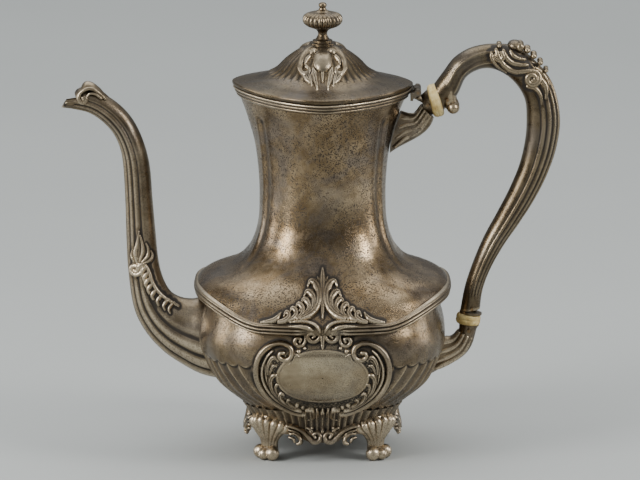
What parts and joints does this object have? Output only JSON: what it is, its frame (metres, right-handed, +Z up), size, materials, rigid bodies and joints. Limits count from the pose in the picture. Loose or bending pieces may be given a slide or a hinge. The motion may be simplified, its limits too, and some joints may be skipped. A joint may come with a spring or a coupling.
{
  "type": "coffee pot",
  "caption": "Tall coffee pot with a squared waisted neck, reeded shoulder rim, fluted bowl on scroll feet, hinged domed lid, curved spout and insulated loop handle.",
  "frame": {"origin": "centre of the whole footprint's bounding box on the table plane; the body's upright axis stands 7 mm from it towards the handle", "axes": "+Z up, +X towards the handle, -X towards the spout, -Y towards the front"},
  "size_m": [0.2919, 0.152, 0.2664],
  "materials": {
    "silver_sheet": "tarnished polished silver plate over nickel silver",
    "silver_casting": "cast silver plate with dark hollows",
    "rivet_metal": "worn pin ends",
    "insulator_bone": "yellowed bone, softly polished"
  },
  "bodies": {
    "pot": {"lower_body": "silver_sheet", "upper_body": "silver_sheet", "shoulder_rim": "silver_casting", "bottom_plate": "silver_sheet", "base_apron": "silver_casting", "foot_front_left": "silver_casting", "foot_front_right": "silver_casting", "foot_back_left": "silver_casting", "foot_back_right": "silver_casting", "spout": "silver_sheet", "spout_flange": "silver_casting", "spout_hood": "silver_casting", "spout_leaves": "silver_casting", "cartouche_front": "silver_casting", "cartouche_back": "silver_casting", "crest_front": "silver_casting", "crest_back": "silver_casting", "neck_rim": "silver_casting", "body_hinge": "silver_casting", "hinge_pin": "rivet_metal", "upper_bracket": "silver_casting", "upper_insulator": "insulator_bone", "handle": "silver_sheet", "handle_crest": "silver_casting", "lower_collar": "silver_casting", "lower_insulator": "insulator_bone", "lower_bracket": "silver_casting", "socket_rivets": "rivet_metal"},
    "lid_group": {"lid": "silver_sheet", "lid_bezel": "silver_casting", "lid_hinge_leaf": "silver_casting", "lid_crest_front": "silver_casting", "lid_crest_back": "silver_casting", "finial_collar": "silver_casting", "finial_knob": "silver_casting", "finial_nut": "silver_casting"}
  },
  "joints": [
    {"name": "lid_hinge", "type": "hinge", "parent": "pot", "child": "lid_group", "pos_m": [0.0618, 0, 0.2142], "axis": [0, 1, 0], "range_deg": [0, 95]}
  ]
}
